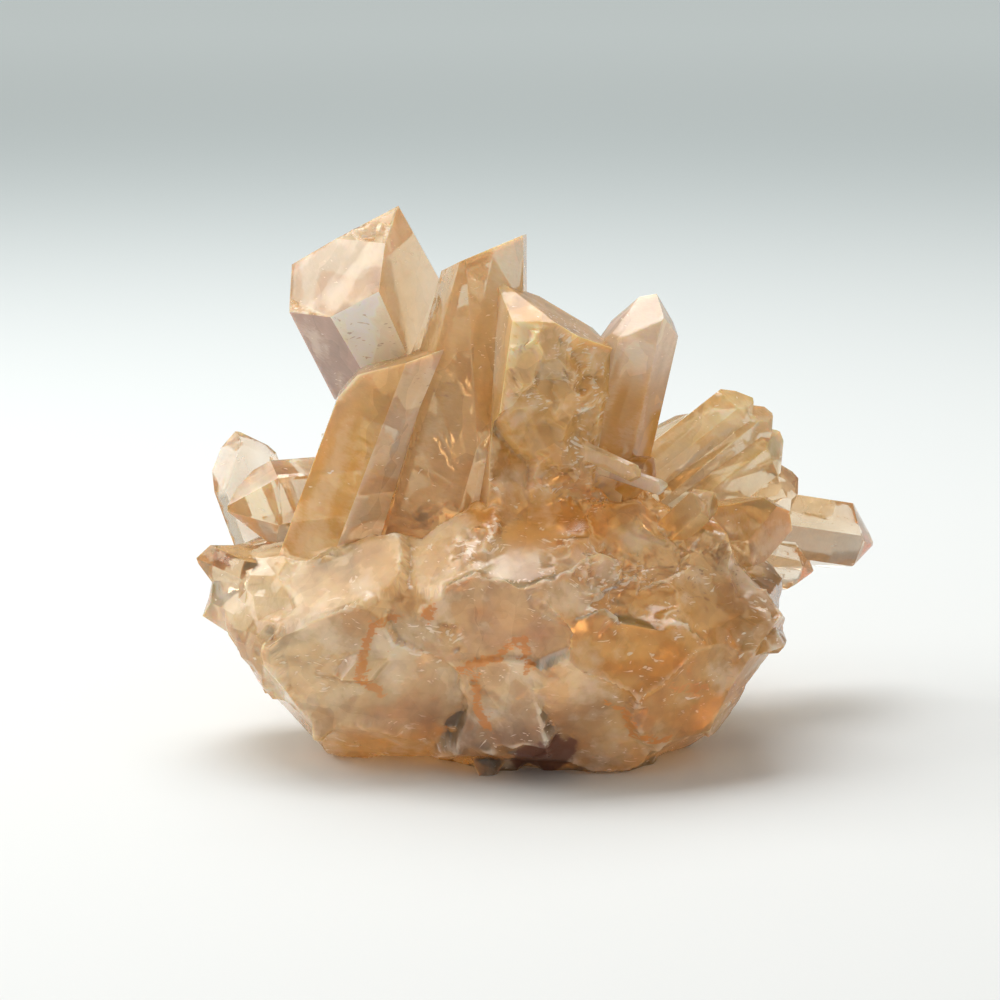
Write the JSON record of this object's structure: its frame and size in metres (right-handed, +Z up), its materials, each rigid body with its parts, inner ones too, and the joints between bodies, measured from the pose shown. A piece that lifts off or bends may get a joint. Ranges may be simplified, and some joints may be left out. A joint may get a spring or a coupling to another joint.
{
  "type": "quartz crystal cluster",
  "caption": "Mineral specimen: orange and honey quartz points radiating from one broken, milky base, standing on a flat underside.",
  "frame": {"origin": "on the floor, under the middle of the cluster's bounding box", "axes": "+X to the right of the broken face and along the cluster's length, +Y away from the broken face, +Z up"},
  "size_m": [0.0984, 0.0672, 0.0758],
  "materials": {
    "quartz": "glossy crystal faces, milky and rough where broken"
  },
  "bodies": {
    "root": {"quartz_cluster": "quartz"}
  },
  "joints": []
}
